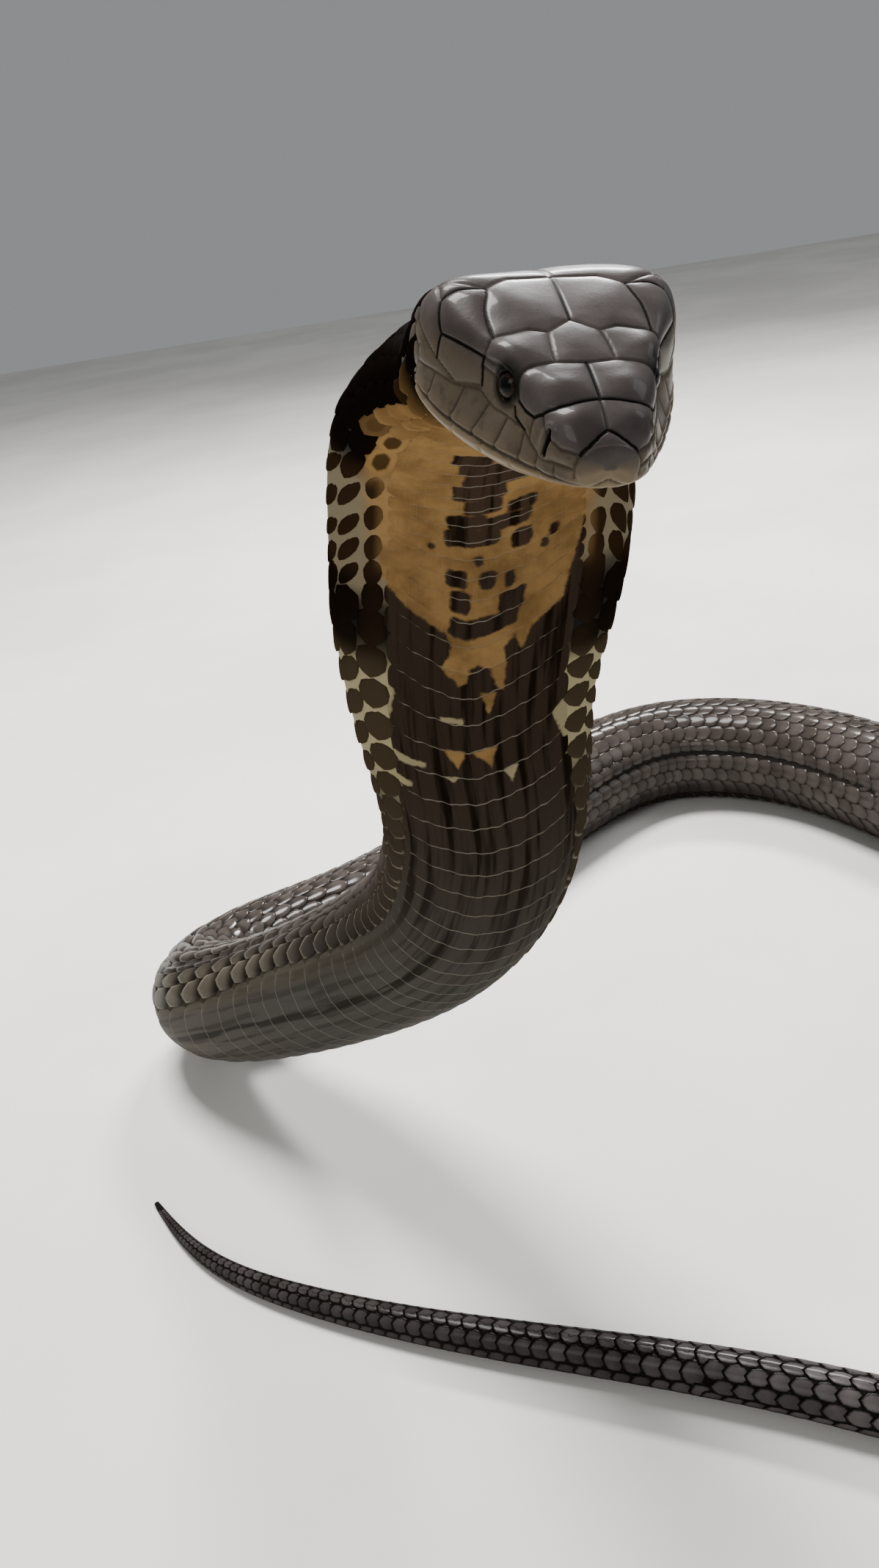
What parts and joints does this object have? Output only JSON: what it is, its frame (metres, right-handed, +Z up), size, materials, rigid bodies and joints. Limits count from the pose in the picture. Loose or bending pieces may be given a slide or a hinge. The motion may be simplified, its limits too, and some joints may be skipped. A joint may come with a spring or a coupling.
{
  "type": "king cobra",
  "caption": "Life-size still king cobra with raised hood, its long body lying in a loop on the floor and its tail brought round in front.",
  "frame": {"origin": "on the floor, under the middle of the animal's plan", "axes": "+Z up; +Y the way the viewer looks, so the head faces -Y; +X to the viewer's right, along the length of the loop"},
  "size_m": [1.1326, 0.6546, 0.4021],
  "materials": {
    "head": "glossy smooth shields, grey brown",
    "hood": "satin scutes, ochre throat with dark brown blotches",
    "body": "glossy scales, dark grey brown",
    "tail": "satin scales, grey with near black edges",
    "eye": "wet gloss, near black"
  },
  "bodies": {
    "root": {"head": "head", "eye_left": "eye", "eye_right": "eye", "hood": "hood", "neck": "body", "fore_body": "body", "body_bend": "body", "body_behind": "body", "body_crest": "body", "body_dip": "body", "body_swell": "body", "body_side": "body", "body_return": "body", "tail_base": "tail", "tail_middle": "tail", "tail_tip": "tail"}
  },
  "joints": []
}
